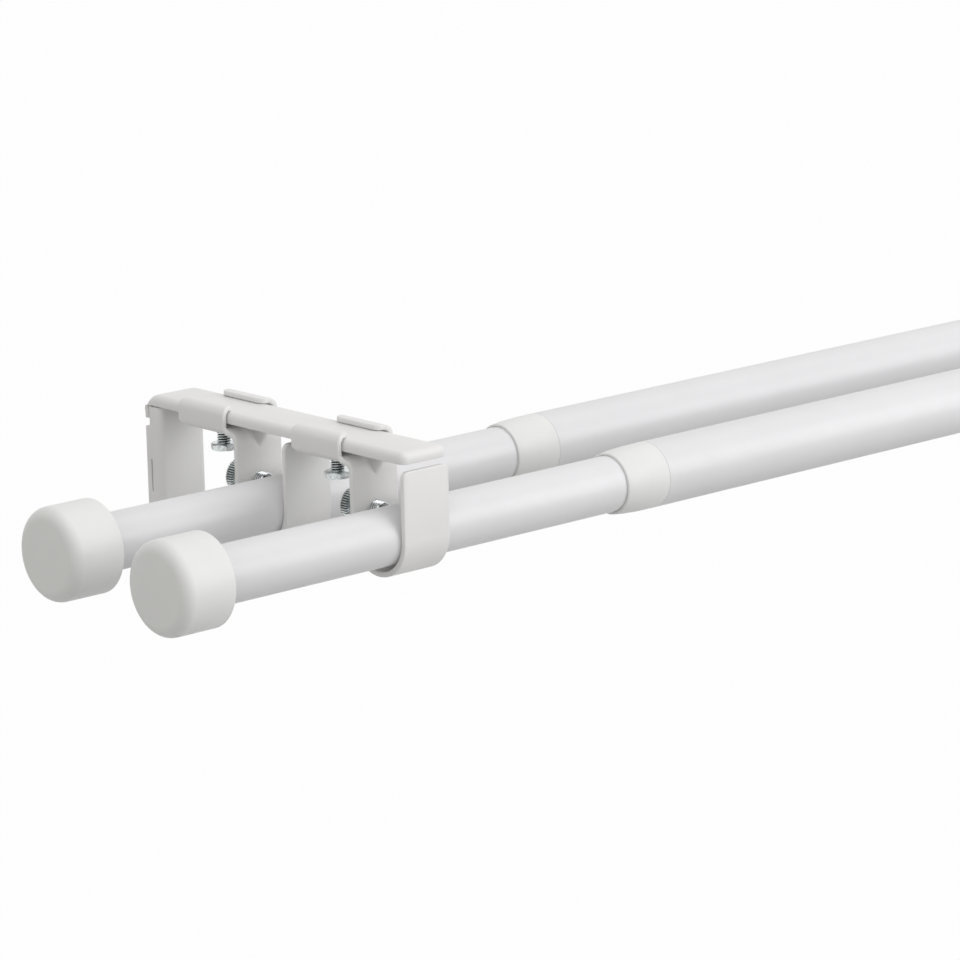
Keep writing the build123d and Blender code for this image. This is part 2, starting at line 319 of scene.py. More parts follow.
for rod in ("front", "rear"):
    for kind in ("inner", "outer"):
        node = f"{rod}_{kind}_tube"
        low, high = corners(node)
        axis = rod_axis(node)
        tube_r = (high.z - low.z) / 2
        bore_r = tube_r - TUBE_WALL
        bm = turned(
            [(low.x, bore_r), (low.x, tube_r), (high.x, tube_r), (high.x, bore_r)],
            axis,
            closed=True,
        )
        rims = ring(bm, axis, low.x, tube_r) + ring(bm, axis, high.x, tube_r)
        round_edges(bm, rims, TUBE_END_BREAK, segments=2)
        keep_piece(bm, node, rod_paint)

# %% [markdown]
# ## Collars
# A moulded collar is pressed into the mouth of each outer tube, so that the paint of the
# inner tube isn't scratched. It swells gently from its lip to the tube's own diameter,
# and a spigot inside the tube holds it. Three points give the swell, and a bevel the lip.

# %% Make the two collars
COLLAR_LENGTH = 15.4
COLLAR_LIP_R = 8.75
COLLAR_SWELL = ((3.0, 9.1), (8.0, 9.4))
COLLAR_BORE_R = 8.08
SPIGOT_R = 8.77
LIP_ROUND = 0.3
JOINT_BREAK = 0.3

for rod in ("front", "rear"):
    node = f"{rod}_collar"
    low, high = corners(node)
    axis = rod_axis(node)
    collar_r = (high.z - low.z) / 2
    shoulder = low.x + COLLAR_LENGTH
    bm = turned(
        [
            (low.x, COLLAR_BORE_R),
            (low.x, COLLAR_LIP_R),
            *[(low.x + along, radius) for along, radius in COLLAR_SWELL],
            (shoulder, collar_r),
            (shoulder, SPIGOT_R),
            (high.x, SPIGOT_R),
            (high.x, COLLAR_BORE_R),
        ],
        axis,
        closed=True,
    )
    round_edges(bm, ring(bm, axis, low.x, COLLAR_LIP_R), LIP_ROUND, segments=4)
    round_edges(bm, ring(bm, axis, shoulder, collar_r), JOINT_BREAK, segments=2)
    keep_piece(bm, node, cap_plastic)

# %% [markdown]
# ## End caps
# A cap is a plastic cup pushed over the tube's end. Inside it, eight ribs bridge the room
# between cup and tube. The cup is spun, and each rib is pulled out of two neighbouring
# faces of the inner wall, so it is one skin with the cup. The face has a soft round edge.

# %% Make the four caps
CAP_WALL = 1.7
CAP_FACE_WALL = 2.6
CAP_FACE_ROUND = 3.4
CAP_RIM_ROUND = 0.6
RIB_SETBACK = 0.8
RIB_COUNT = 8
RIB_FIT = 0.03
WALL_TOLERANCE = 0.1
TUBE_R_IN_CAP = {"left": 8.0, "right": 9.5}


def pull_ribs(bm, axis, start_x, end_x, wall_r, foot_r):
    """Pull the ribs out of a cup's inner wall, in to the tube."""
    half_step = math.tau / TURN_STEPS
    for rib in range(RIB_COUNT):
        angle = math.tau * rib / RIB_COUNT
        inward = Vector((0, -math.cos(angle), -math.sin(angle)))
        wall = []
        for face in bm.faces:
            spot = face.calc_center_median()
            radial = Vector((0, spot.y - axis.y, spot.z - axis.z))
            between = min(start_x, end_x) < spot.x < max(start_x, end_x)
            on_wall = abs(radial.length - wall_r) < WALL_TOLERANCE
            if between and on_wall and radial.angle(-inward) < half_step:
                wall.append(face)
        grown = bmesh.ops.extrude_face_region(bm, geom=wall)["geom"]
        tips = [item for item in grown if isinstance(item, bmesh.types.BMVert)]
        bmesh.ops.translate(bm, vec=inward * (wall_r - foot_r), verts=tips)


for rod in ("front", "rear"):
    for end, tube_r in TUBE_R_IN_CAP.items():
        node = f"{end}_{rod}_cap"
        low, high = corners(node)
        axis = rod_axis(node)
        cup_r = (high.z - low.z) / 2
        wall_r = cup_r - CAP_WALL
        outward = -1 if end == "left" else 1
        face_x, rim_x = (low.x, high.x) if end == "left" else (high.x, low.x)
        floor_x = face_x - outward * CAP_FACE_WALL
        rib_x = rim_x + outward * RIB_SETBACK
        bm = turned(
            [
                (face_x, 0),
                (face_x, cup_r),
                (rim_x, cup_r),
                (rim_x, wall_r),
                (rib_x, wall_r),
                (floor_x, wall_r),
                (floor_x, 0),
            ],
            axis,
            closed=False,
        )
        pull_ribs(bm, axis, rib_x, floor_x, wall_r, tube_r + RIB_FIT)
        round_edges(bm, ring(bm, axis, face_x, cup_r), CAP_FACE_ROUND, segments=8)
        round_edges(bm, ring(bm, axis, rim_x, cup_r), CAP_RIM_ROUND, segments=4)
        round_edges(bm, ring(bm, axis, rim_x, wall_r), CAP_RIM_ROUND / 2, segments=3)
        keep_piece(bm, node, cap_plastic)

# %% [markdown]
# ## Threads
# A thread is a tooth that climbs as it goes round. Spinning one tooth with a step along
# the axis gives exactly that, and each turn meets the one below it. The run is made too
# long, then cut flat at both ends and closed, and the tip is turned down a little so that
# it would find its hole.

# %% A threaded shank that stands on the origin and points up
THREAD_STEPS = 24
THREAD_DEPTH = 0.62
FLANK_END, CREST_END, TOOTH_END = 0.38, 0.56, 0.94


def cut_and_close(bm, height, side):
    """Cut a closed shape off flat at a height, and fill the cut."""
    everything = bm.verts[:] + bm.edges[:] + bm.faces[:]
    cut = bmesh.ops.bisect_plane(
        bm,
        geom=everything,
        plane_co=(0, 0, height),
        plane_no=(0, 0, side),
        clear_outer=True,
    )["geom_cut"]
    edges = [item for item in cut if isinstance(item, bmesh.types.BMEdge)]
    bmesh.ops.holes_fill(bm, edges=edges, sides=0)


def threaded_shank(radius, pitch, start, end):
    """One tooth, spun up from below the start and past the end, then cut to length."""
    bm = bmesh.new()
    groove_shade = bm.verts.layers.float.new("groove_shade")
    root = radius - THREAD_DEPTH * pitch
    tooth = ((root, 0), (radius, FLANK_END), (radius, CREST_END), (root, TOOTH_END), (root, 1.0))
    points = [bm.verts.new((reach, 0, start + pitch * (rise - 1))) for reach, rise in tooth]
    # painted shade: each point's groove value runs from 0 on the crest to 1 at the root, where
    # the finish paints the thread darker
    for point in points:
        point[groove_shade] = (radius - point.co.x) / (radius - root)
    edges = [bm.edges.new(pair) for pair in zip(points, points[1:])]
    turns = math.ceil((end - start) / pitch) + 2
    bmesh.ops.spin(
        bm,
        geom=points + edges,
        cent=(0, 0, 0),
        axis=(0, 0, 1),
        dvec=(0, 0, pitch / THREAD_STEPS),
        angle=math.tau * turns,
        steps=THREAD_STEPS * turns,
    )
    bmesh.ops.remove_doubles(bm, verts=bm.verts, dist=NEAR / 10)
    cut_and_close(bm, start, -1)
    cut_and_close(bm, end, 1)
    for vert in bm.verts:
        allowed = root + end - vert.co.z
        vert.co.xy *= min(1.0, allowed / max(vert.co.xy.length, NEAR))
    bmesh.ops.recalc_face_normals(bm, faces=bm.faces)
    return bm


print(f"threads: {THREAD_STEPS} steps a turn, {THREAD_DEPTH} of the pitch deep")

# %% [markdown]
# ## Screw heads
# Both heads start as a circle of edges that is pulled along the axis, one stretch at a
# time. The thumb screw's circle has every second point drawn in, which is a knurl. The
# bolt's circle has six sides, and its corners are drawn to the middle on both faces as if
# a cone had been turned on them, which leaves the curved lines that a real bolt head has.

# %% Pulling rows of edges, and joining shapes
def new_row(grown):
    """The edges among the things that an operator made."""
    return [item for item in grown if isinstance(item, bmesh.types.BMEdge)]


def pull_row(bm, row, move):
    """Extrude a row of edges along a straight line, and give back the new row."""
    grown = new_row(bmesh.ops.extrude_edge_only(bm, edges=row)["geom"])
    bmesh.ops.translate(bm, vec=move, verts=bmesh_verts(grown))
    return grown


def join(bm, other):
    """Add another bmesh to this one."""
    carrier = bpy.data.meshes.new("carrier")
    other.to_mesh(carrier)
    other.free()
    bm.from_mesh(carrier)
    bpy.data.meshes.remove(carrier)


def close_ends(bm):
    """Fill every open loop."""
    open_edges = [edge for edge in bm.edges if edge.is_boundary]
    bmesh.ops.holes_fill(bm, edges=open_edges, sides=0)
    bmesh.ops.recalc_face_normals(bm, faces=bm.faces)


# %% A knurled head and a hexagon head, both below the origin
KNURL_TEETH = 42
KNURL_DEPTH = 0.48
HEAD_CHAMFER = 0.4
CUTS_PER_FLAT = 7
HEX_FACE_SHARE = 0.495
HEX_CONE = math.radians(30)


def knurled_head(radius, length):
    """A toothed ring with chamfered ends and plain flat faces."""
    bm = bmesh.new()
    groove_shade = bm.verts.layers.float.new("groove_shade")
    points = bmesh.ops.create_circle(bm, segments=2 * KNURL_TEETH, radius=radius)["verts"]
    drawn_in = 1 - KNURL_DEPTH / radius
    bmesh.ops.scale(bm, vec=(drawn_in, drawn_in, 1), verts=points[::2])
    # painted shade: the drawn-in points between the knurl's teeth get a full groove value, and
    # the flat faces none
    for point in points[::2]:
        point[groove_shade] = 1.0
    edge_scale = 1 - HEAD_CHAMFER / radius
    top = bm.edges[:]
    row = pull_row(bm, top, (0, 0, -HEAD_CHAMFER))
    row = pull_row(bm, row, (0, 0, 2 * HEAD_CHAMFER - length))
    row = pull_row(bm, row, (0, 0, -HEAD_CHAMFER))
    ends = bmesh_verts(top) + bmesh_verts(row)
    bmesh.ops.scale(bm, vec=(edge_scale, edge_scale, 1), verts=ends)
    face_r = radius - KNURL_DEPTH - HEAD_CHAMFER
    for rim in (top, row):
        for vert in bmesh_verts(pull_row(bm, rim, (0, 0, 0))):
            vert.co.xy *= face_r / vert.co.xy.length
            vert[groove_shade] = 0.0
    close_ends(bm)
    return bm


def hexagon_head(flats, height):
    """A six-sided head with its corners turned down on both faces."""
    bm = bmesh.new()
    bm.verts.layers.float.new("groove_shade")
    bmesh.ops.create_circle(bm, segments=6, radius=flats / math.sqrt(3))
    bmesh.ops.rotate(bm, verts=bm.verts, matrix=Matrix.Rotation(math.pi / 6, 3, "Z"))
    bmesh.ops.subdivide_edges(bm, edges=bm.edges, cuts=CUTS_PER_FLAT)
    face_r = HEX_FACE_SHARE * flats
    top = bm.edges[:]
    foot = pull_row(bm, top, (0, 0, -height))
    for row, level, inward in ((top, 0, -1), (foot, -height, 1)):
        for vert in bmesh_verts(row):
            vert.co.z += inward * max(0, vert.co.xy.length - face_r) * math.tan(HEX_CONE)
        for vert in bmesh_verts(pull_row(bm, row, (0, 0, 0))):
            vert.co.xy *= face_r / vert.co.xy.length
            vert.co.z = level
    close_ends(bm)
    return bm


print(f"knurl: {KNURL_TEETH} teeth, {KNURL_DEPTH} mm deep")

# %% [markdown]
# ## Placing the screws
# A bolt points up through the floor of its sleeve, and a thumb screw points to the room
# through the back plate of its hook. Both are modelled pointing up, so the bolt is only
# moved and the thumb screw is turned a quarter first. The shank runs a little way into
# the head, so the two shapes overlap instead of sharing a face.

# %% Make the clamp bolts and the thumb screws
SHANK_INTO_HEAD = 0.5
BOLT_R = 2.0
BOLT_PITCH = 0.7
BOLT_FLATS = 7.0
BOLT_HEAD = 1.8
THUMB_R = 2.5
THUMB_PITCH = 0.8
THUMB_HEAD = 3.0

for rod in ("front", "rear"):
    for end in ("left", "right"):
        node = f"{end}_{rod}_clamp_bolt"
        low, high = corners(node)
        middle = (low + high) / 2
        bearing = Vector((middle.x, middle.y, low.z + BOLT_HEAD))
        bm = hexagon_head(BOLT_FLATS, BOLT_HEAD)
        join(bm, threaded_shank(BOLT_R, BOLT_PITCH, -SHANK_INTO_HEAD, high.z - bearing.z))
        bmesh.ops.translate(bm, vec=bearing, verts=bm.verts)
        keep_piece(bm, node, zinc)

        node = f"{end}_{rod}_thumb_screw"
        low, high = corners(node)
        middle = (low + high) / 2
        bearing = Vector((middle.x, high.y - THUMB_HEAD, middle.z))
        bm = knurled_head((high.z - low.z) / 2, THUMB_HEAD)
        join(bm, threaded_shank(THUMB_R, THUMB_PITCH, -SHANK_INTO_HEAD, bearing.y - low.y))
        bmesh.ops.rotate(bm, verts=bm.verts, matrix=Matrix.Rotation(math.pi / 2, 3, "X"))
        bmesh.ops.translate(bm, vec=bearing, verts=bm.verts)
        keep_piece(bm, node, zinc)

# %% [markdown]
# ## Sheet metal
# The holders and brackets are stamped from sheet, and the easiest way to model a stamping
# is the way it is made: a flat strip that is pulled straight, bent round an axis, pulled
# again, and only then given its thickness. Bending a row of edges is a spin. Thickness is
# added behind the side that the normals face, so they are checked first. Last, the cut
# edges, which turn sharply, are broken with a small bevel.

# %% Bending, thickening and finding cut edges
CUT_EDGE_ANGLE = math.radians(60)


def bend_row(bm, row, centre, axis, angle, steps):
    """Bend a row of edges round an axis, and give back the last row."""
    last = bmesh.ops.spin(
        bm,
        geom=bmesh_verts(row) + row,
        cent=centre,
        axis=axis,
        angle=angle,
        steps=steps,
    )["geom_last"]
    return new_row(last)


def face_sheet(bm, probe, direction):
    """Make all normals agree, with the face nearest to a point facing a direction."""
    bmesh.ops.recalc_face_normals(bm, faces=bm.faces)
    nearest = min(bm.faces, key=lambda face: (face.calc_center_median() - probe).length)
    if nearest.normal.dot(direction) < 0:
        bmesh.ops.reverse_faces(bm, faces=bm.faces)


def thicken(bm, thickness):
    """Give a sheet its thickness, behind the side that its normals face."""
    bmesh.ops.solidify(bm, geom=bm.faces[:], thickness=thickness)


def cut_edges(bm):
    """The edges at which a shape turns sharply."""
    return [edge for edge in bm.edges if edge.calc_face_angle(0) > CUT_EDGE_ANGLE]


def round_corner(bm, centre, start, end, radius, steps):
    """Trim a flat sheet to an arc, with cuts that touch it. start and end are directions."""
    for step in range(steps):
        out = start.slerp(end, (step + 0.5) / steps)
        bmesh.ops.bisect_plane(
            bm,
            geom=bm.verts[:] + bm.edges[:] + bm.faces[:],
            plane_co=centre + out * radius,
            plane_no=out,
            clear_outer=True,
        )


print(f"cut edges turn by more than {math.degrees(CUT_EDGE_ANGLE):.0f} degrees")

# %% [markdown]
# ## A screw hole in a sheet
# A hole is opened in the flat sheet before it gets its thickness. The faces round the
# place are deleted, the border of the gap is extruded, and each new point goes straight
# towards the middle until it is on the circle. Two loops could also be bridged, but then
# their points have to be paired, and here every point already has its partner.

# %% Open a round hole
def bmesh_edges(faces):
    """The edges of some faces, each once and in order."""
    return list(dict.fromkeys(edge for face in faces for edge in face.edges))


def in_patch(face, centre, reach):
    """Whether a face's middle is in a small cube round a point."""
    spot = face.calc_center_median() - centre
    return all(abs(part) < reach for part in spot)


def open_hole(bm, centre, radius, reach):
    """Open a round hole in place of the faces near a point."""
    patch = [face for face in bm.faces if in_patch(face, centre, reach)]
    sides = {edge: sum(face in patch for face in edge.link_faces) for edge in bmesh_edges(patch)}
    border = [edge for edge, count in sides.items() if count == 1]
    bmesh.ops.delete(bm, geom=patch, context="FACES")
    for vert in bmesh_verts(pull_row(bm, border, (0, 0, 0))):
        vert.co = centre + (vert.co - centre).normalized() * radius


# %% [markdown]
# ## The stamped holder
# This is the piece that makes the product: one strip that hooks under the rod, rises
# behind it, bends to the wall and folds up into a sleeve round the arm. A gusset pressed
# into the bend stops it from opening under the curtain's weight. The side of the sheet
# that faces the rod is drawn first, from the lip round the cradle to the sleeve's floor.
# The sleeve's walls and lips are then folded up from the floor's long edges.

# %% Sizes of the holder
HOLDER_SHEET = 1.5
HOOK_R = 9.75
STRIP_HALF = 8.1
LIP_RISE = 19.3
LIP_CORNER_R = 2.2
BEND_R = 4.5
FOLD_R = 0.3
TOP_FOLD_R = 1.1
SLEEVE_ROOM = 4.7
SLEEVE_LIP_X = 5.0
SLEEVE_LIP_CORNER_R = 2.3
SLEEVE_BACK_R = 2.3
SLEEVE_TOP_R = 0.6
STRIP_COLUMNS = 24
LIP_CORNER_CUTS = 6
CRADLE_STEPS = 36
BEND_STEPS = 8
THUMB_HEIGHT = 4.5
THUMB_HOLE_R = 2.56
THUMB_ROW_STEP, THUMB_PATCH = 1.1, 3.4
BOLT_SETBACK = 11.2
BOLT_HOLE_R = 2.06
BOLT_ROW_STEP, BOLT_PATCH = 1.0, 3.1
HOLE_ROWS = range(-3, 4)
GUSSET_ROWS_BELOW = (3.5, 2.8, 2.1, 1.4, 0.7, 0.0)
GUSSET_ROWS_BEHIND = (0.9, 2.1, 3.4)
ROWS_BEFORE_BACK = (3.2, 1.7, 0.8, 0.0)
UP = Vector((0, 0, 1))
TO_WALL = Vector((0, 1, 0))
ALONG = Vector((1, 0, 0))
print(f"holder: a strip of {2 * STRIP_HALF} mm, {HOLDER_SHEET} mm thick, hook radius {HOOK_R} mm")


# %% The strip: lip, cradle, back plate, bend and floor
def rows_through(bm, row, direction, start, stops):
    """Pull a row through several stops, measured along a direction."""
    for stop in stops:
        row = pull_row(bm, row, direction * (stop - start))
        start = stop
    return row


def hook_strip(floor_z, sleeve_back):
    """The strip round the rod, with the rod's axis at the origin."""
    bm = bmesh.new()
    ends = [bm.verts.new((side * STRIP_HALF, -HOOK_R, LIP_RISE)) for side in (-1, 1)]
    bmesh.ops.subdivide_edges(bm, edges=[bm.edges.new(ends)], cuts=STRIP_COLUMNS - 1)
    row = pull_row(bm, bm.edges[:], -UP * LIP_RISE)
    for side in (-1, 1):
        corner_x = side * (STRIP_HALF - LIP_CORNER_R)
        centre = Vector((corner_x, -HOOK_R, LIP_RISE - LIP_CORNER_R))
        round_corner(bm, centre, UP, side * ALONG, LIP_CORNER_R, LIP_CORNER_CUTS)
    row = [edge for edge in bm.edges if all(abs(vert.co.z) < NEAR for vert in edge.verts)]
    row = bend_row(bm, row, (0, 0, 0), ALONG, math.pi, CRADLE_STEPS)
    bend_z = floor_z - BEND_R
    hole_rows = [THUMB_HEIGHT + THUMB_ROW_STEP * step for step in HOLE_ROWS]
    gusset_rows = [bend_z - below for below in GUSSET_ROWS_BELOW]
    row = rows_through(bm, row, UP, 0, hole_rows + gusset_rows)
    bend_end = HOOK_R + BEND_R
    row = bend_row(bm, row, (0, bend_end, bend_z), ALONG, -math.pi / 2, BEND_STEPS)
    bolt_y = bend_end + BOLT_SETBACK
    gusset_rows = [bend_end + behind for behind in GUSSET_ROWS_BEHIND]
    hole_rows = [bolt_y + BOLT_ROW_STEP * step for step in HOLE_ROWS]
    back_rows = [sleeve_back - before for before in ROWS_BEFORE_BACK]
    rows_through(bm, row, TO_WALL, bend_end, gusset_rows + hole_rows + back_rows)
    open_hole(bm, Vector((0, HOOK_R, THUMB_HEIGHT)), THUMB_HOLE_R, THUMB_PATCH)
    open_hole(bm, Vector((0, bolt_y, floor_z)), BOLT_HOLE_R, BOLT_PATCH)
    return bm


# %% The sleeve, folded up from the floor's long edges
SLEEVE_LEAD_STEP = math.pi / 2 / BEND_STEPS
RELIEF_LENGTH = 2.4
RELIEF_EASE = 1.5
FOLD_STEPS, TOP_FOLD_STEPS = 5, 6
LIP_STOPS = (0.6, 1.2, 1.8, 2.3)


def ease_relief(bm, corner, side, front):
    """Unfold the stretch ahead of the sleeve, more and more towards the bend."""
    for vert in bm.verts:
        ahead = (front - vert.co.y) / RELIEF_LENGTH
        if not 0 < ahead < 1 or side * vert.co.x < STRIP_HALF - NEAR:
            continue
        arm = vert.co - corner
        foot = corner.z - math.hypot(arm.x, arm.z)
        angle = math.atan2(side * arm.x, -arm.z) * (1 - ahead) ** RELIEF_EASE
        vert.co.x = corner.x + side * FOLD_R * math.sin(angle)
        vert.co.z = foot + FOLD_R * (1 - math.cos(angle))


def fold_sleeve(bm, floor_z):
    """Fold both walls and lips up, and give back where the sleeve starts."""
    bend_end = HOOK_R + BEND_R
    front = bend_end - BEND_R * math.sin(SLEEVE_LEAD_STEP)
    for side in (-1, 1):
        def on_strip_edge(vert):
            ahead = front - vert.co.y
            return abs(vert.co.x - side * STRIP_HALF) < NEAR and ahead < RELIEF_LENGTH

        border = [edge for edge in bm.edges if edge.is_boundary]
        row = [edge for edge in border if all(map(on_strip_edge, edge.verts))]
        for vert in bmesh_verts(row):
            if vert.co.y > front - NEAR:
                vert.co.z = floor_z
        corner = Vector((side * STRIP_HALF, 0, floor_z + FOLD_R))
        row = bend_row(bm, row, corner, TO_WALL, -side * math.pi / 2, FOLD_STEPS)
        row = [edge for edge in row if all(vert.co.y > front - NEAR for vert in edge.verts)]
        ease_relief(bm, corner, side, front - NEAR)
        row = pull_row(bm, row, UP * (SLEEVE_ROOM - FOLD_R - TOP_FOLD_R))
        fold_x = STRIP_HALF + FOLD_R - TOP_FOLD_R
        corner = Vector((side * fold_x, 0, floor_z + SLEEVE_ROOM - TOP_FOLD_R))
        row = bend_row(bm, row, corner, TO_WALL, -side * math.pi / 2, TOP_FOLD_STEPS)
        rows_through(bm, row, -side * ALONG, 0, LIP_STOPS)
    bmesh.ops.remove_doubles(bm, verts=bm.verts, dist=NEAR)
    return front


# %% [markdown]
# ## The gusset
# The press pushes the middle of the bend inwards, to a valley that runs straight across
# the corner. Seen along the diagonal of the corner, the sheet may stand no higher than a
# V. Points above the V move down to it along the diagonal, and a soft limit instead of a
# hard one gives the pressed edge its radius.

# %% Press the gusset
GUSSET_DEPTH = 2.3
GUSSET_HALF_WIDTH = 2.9
GUSSET_SOFTNESS = 0.4
GUSSET_FIELD_HALF = STRIP_HALF - 2
GUSSET_FIELD_R = 2 * BEND_R


def soft_excess(excess):
    """The part of a value above zero, rounded off near zero."""
    if excess < -GUSSET_SOFTNESS:
        return 0.0
    if excess > GUSSET_SOFTNESS:
        return excess
    return (excess + GUSSET_SOFTNESS) ** 2 / (4 * GUSSET_SOFTNESS)


def press_gusset(bm, floor_z):
    """Push the middle of the bend in, to a V across the corner."""
    centre = Vector((0, HOOK_R + BEND_R, floor_z - BEND_R))
    diagonal = (UP - TO_WALL).normalized()
    for vert in bm.verts:
        spot = vert.co - centre
        if abs(spot.x) > GUSSET_FIELD_HALF or spot.yz.length > GUSSET_FIELD_R:
            continue
        height = spot.dot(diagonal)
        limit = BEND_R - GUSSET_DEPTH + abs(spot.x) * GUSSET_DEPTH / GUSSET_HALF_WIDTH
        vert.co -= diagonal * soft_excess(height - limit)


print(f"gusset: {GUSSET_DEPTH} mm deep, {2 * GUSSET_HALF_WIDTH} mm wide")

# %% [markdown]
# ## The sleeve's rounded outline
# Seen from the side, the sleeve's lower back corner and its top corners are round, and so
# are the corners of its two lips seen from above. A press cuts this outline square to the
# flat sheet, so it is shaped before the sheet gets thick. The round is seen on the outer
# side of the folds, so a point's height there decides how far it is pushed back, and the
# rows near an end share the push. At a lip's corner the square grid is bent into rings.

# %% Push the sleeve's ends back to their outline
END_STRETCH = 4.0


def outer_height(z, floor_z):
    """The height of a point's partner on the outer side of the sleeve."""
    low = floor_z + FOLD_R
    high = floor_z + SLEEVE_ROOM - TOP_FOLD_R
    if z < low:
        return low + (z - low) * (FOLD_R + HOLDER_SHEET) / FOLD_R
    if z > high:
        return high + (z - high) * (TOP_FOLD_R + HOLDER_SHEET) / TOP_FOLD_R
    return z


def held_back(over, radius):
    """How far an end moves back at a distance over the start of a corner's arc."""
    over = min(max(over, 0.0), radius)
    return radius - math.sqrt(radius**2 - over**2)


def round_lip_corner(spot, end_y, inward):
    """Bend the square grid at a lip's corner into rings, so that its border is an arc."""
    out_x = SLEEVE_LIP_X + SLEEVE_LIP_CORNER_R - abs(spot.x)
    out_y = inward * (end_y - spot.y) + SLEEVE_LIP_CORNER_R
    if min(out_x, out_y) > NEAR:
        share = 1 - max(out_x, out_y) / math.hypot(out_x, out_y)
        spot.x += math.copysign(out_x * share, spot.x)
        spot.y += inward * out_y * share


def shape_sleeve_ends(bm, front, back, floor_z):
    """Round the sleeve's corners, seen from the side and from above."""
    bottom = floor_z - HOLDER_SHEET
    top = floor_z + SLEEVE_ROOM + HOLDER_SHEET
    for vert in bm.verts:
        spot = vert.co
        if spot.y < front - NEAR or spot.z < floor_z - NEAR:
            continue
        height = outer_height(spot.z, floor_z)
        at_top = held_back(height - top + SLEEVE_TOP_R, SLEEVE_TOP_R)
        at_foot = held_back(bottom + SLEEVE_BACK_R - height, SLEEVE_BACK_R)
        from_front = max(0.0, 1 - (spot.y - front) / END_STRETCH)
        from_back = max(0.0, 1 - (back - spot.y) / END_STRETCH)
        spot.y += from_front * at_top - from_back * max(at_top, at_foot)
        if spot.z > floor_z + SLEEVE_ROOM - NEAR:
            round_lip_corner(spot, front + at_top, 1)
            round_lip_corner(spot, back - at_top, -1)


# %% Make the four holders
HOLDER_EDGE_BREAK = 0.4


def on_hole_rim(edge):
    """Whether an edge is on the rim of a screw hole, which stays sharp."""
    spot = (edge.verts[0].co + edge.verts[1].co) / 2
    from_thumb = math.hypot(spot.x, spot.z - THUMB_HEIGHT)
    from_bolt = math.hypot(spot.x, spot.y - HOOK_R - BEND_R - BOLT_SETBACK)
    return from_thumb < THUMB_HOLE_R + NEAR or from_bolt < BOLT_HOLE_R + NEAR


for rod in ("front", "rear"):
    for end in ("left", "right"):
        node = f"{end}_{rod}_holder"
        low, high = corners(node)
        foot = Vector(((low.x + high.x) / 2, low.y, low.z))
        hook = foot + (TO_WALL + UP) * (HOOK_R + HOLDER_SHEET)
        floor_z = high.z - hook.z - HOLDER_SHEET - SLEEVE_ROOM
        back = high.y - hook.y
        bm = hook_strip(floor_z, back)
        front = fold_sleeve(bm, floor_z)
        face_sheet(bm, Vector((0, back, floor_z)), UP)
        press_gusset(bm, floor_z)
        shape_sleeve_ends(bm, front, back, floor_z)
        thicken(bm, HOLDER_SHEET)
        border = [edge for edge in cut_edges(bm) if not on_hole_rim(edge)]
        round_edges(bm, border, HOLDER_EDGE_BREAK, segments=3)
        bmesh.ops.translate(bm, vec=hook, verts=bm.verts)
        keep_piece(bm, node, bracket_paint)

# %% [markdown]
# ## The wall bracket
# The arm is a shallow tray, open below, whose back turns down to hook over the wall plate.
# The leg under it is a boxed channel, tied to the tray by a tab. The tray starts as a flat
# strip whose front corners are rounded. Its border is pulled down into flanges, and a bevel
# along the top turns the sharp corner into a fold. The open back end is then a row with the
# tray's whole section, which is pulled to the wall and bent down. The flanges may not reach
# below their own level there, so fold and flanges run out in the bend, and a flat strip
# is left.

# %% The arm's tray
BRACKET_SHEET = 1.5
ARM_HEIGHT = 3.2
ARM_CORNER_R = 2.4
ARM_FOLD_R = 1.9
BACK_BEND_R = 5.0
BACK_BEND_STEPS = 15
BACK_STRIP = 7.0
TRAY_START = 20.0
FLAT_EDGE = 0.5
CORNER_SEGMENTS = 8


def run_out_flanges(bm, half):
    """Hold the flanges up to their own level in the back bend, and flatten what is left."""
    for vert in bm.verts:
        along = vert.co.y + BACK_BEND_R
        up = vert.co.z + BACK_BEND_R
        if along < NEAR:
            continue
        turn = math.atan2(along, up)
        level = (BACK_BEND_R - ARM_HEIGHT) / max(math.cos(turn), NEAR)
        depth = (BACK_BEND_R - math.hypot(along, up)) * math.cos(turn)
        reach = min(max(BACK_BEND_R - depth, level), BACK_BEND_R)
        vert.co.y = reach * math.sin(turn) - BACK_BEND_R
        vert.co.z = reach * math.cos(turn) - BACK_BEND_R
        if reach > BACK_BEND_R - NEAR and half - abs(vert.co.x) < FLAT_EDGE:
            vert.co.x = math.copysign(half, vert.co.x)


def arm_tray(half, reach):
    """The tray with its top at height zero and its back at the wall."""
    bm = bmesh.new()
    ends = [bm.verts.new((side * half, -TRAY_START, 0)) for side in (-1, 1)]
    row = pull_row(bm, [bm.edges.new(ends)], TO_WALL * (TRAY_START - reach))
    bmesh.ops.bevel(
        bm,
        geom=bmesh_verts(row),
        offset=ARM_CORNER_R,
        segments=CORNER_SEGMENTS,
        profile=0.5,
        affect="VERTICES",
        material=-1,
    )

    def at_start(edge):
        return all(abs(vert.co.y + TRAY_START) < NEAR for vert in edge.verts)

    border = [edge for edge in bm.edges if edge.is_boundary and not at_start(edge)]
    pull_row(bm, border, -UP * ARM_HEIGHT)
    bmesh.ops.recalc_face_normals(bm, faces=bm.faces)
    round_edges(bm, cut_edges(bm), ARM_FOLD_R, segments=5)
    row = pull_row(bm, list(filter(at_start, bm.edges)), TO_WALL * (TRAY_START - BACK_BEND_R))
    centre = -(TO_WALL + UP) * BACK_BEND_R
    row = bend_row(bm, row, centre, ALONG, -math.pi / 2, BACK_BEND_STEPS)
    run_out_flanges(bm, half)
    pull_row(bm, row, -UP * (BACK_STRIP - BACK_BEND_R))
    bmesh.ops.remove_doubles(bm, verts=bm.verts, dist=NEAR)
    face_sheet(bm, -TO_WALL * reach / 2, UP)
    thicken(bm, BRACKET_SHEET)
    return bm


print(f"arm: {ARM_HEIGHT} mm high, with a bend of {BACK_BEND_R} mm at the wall")

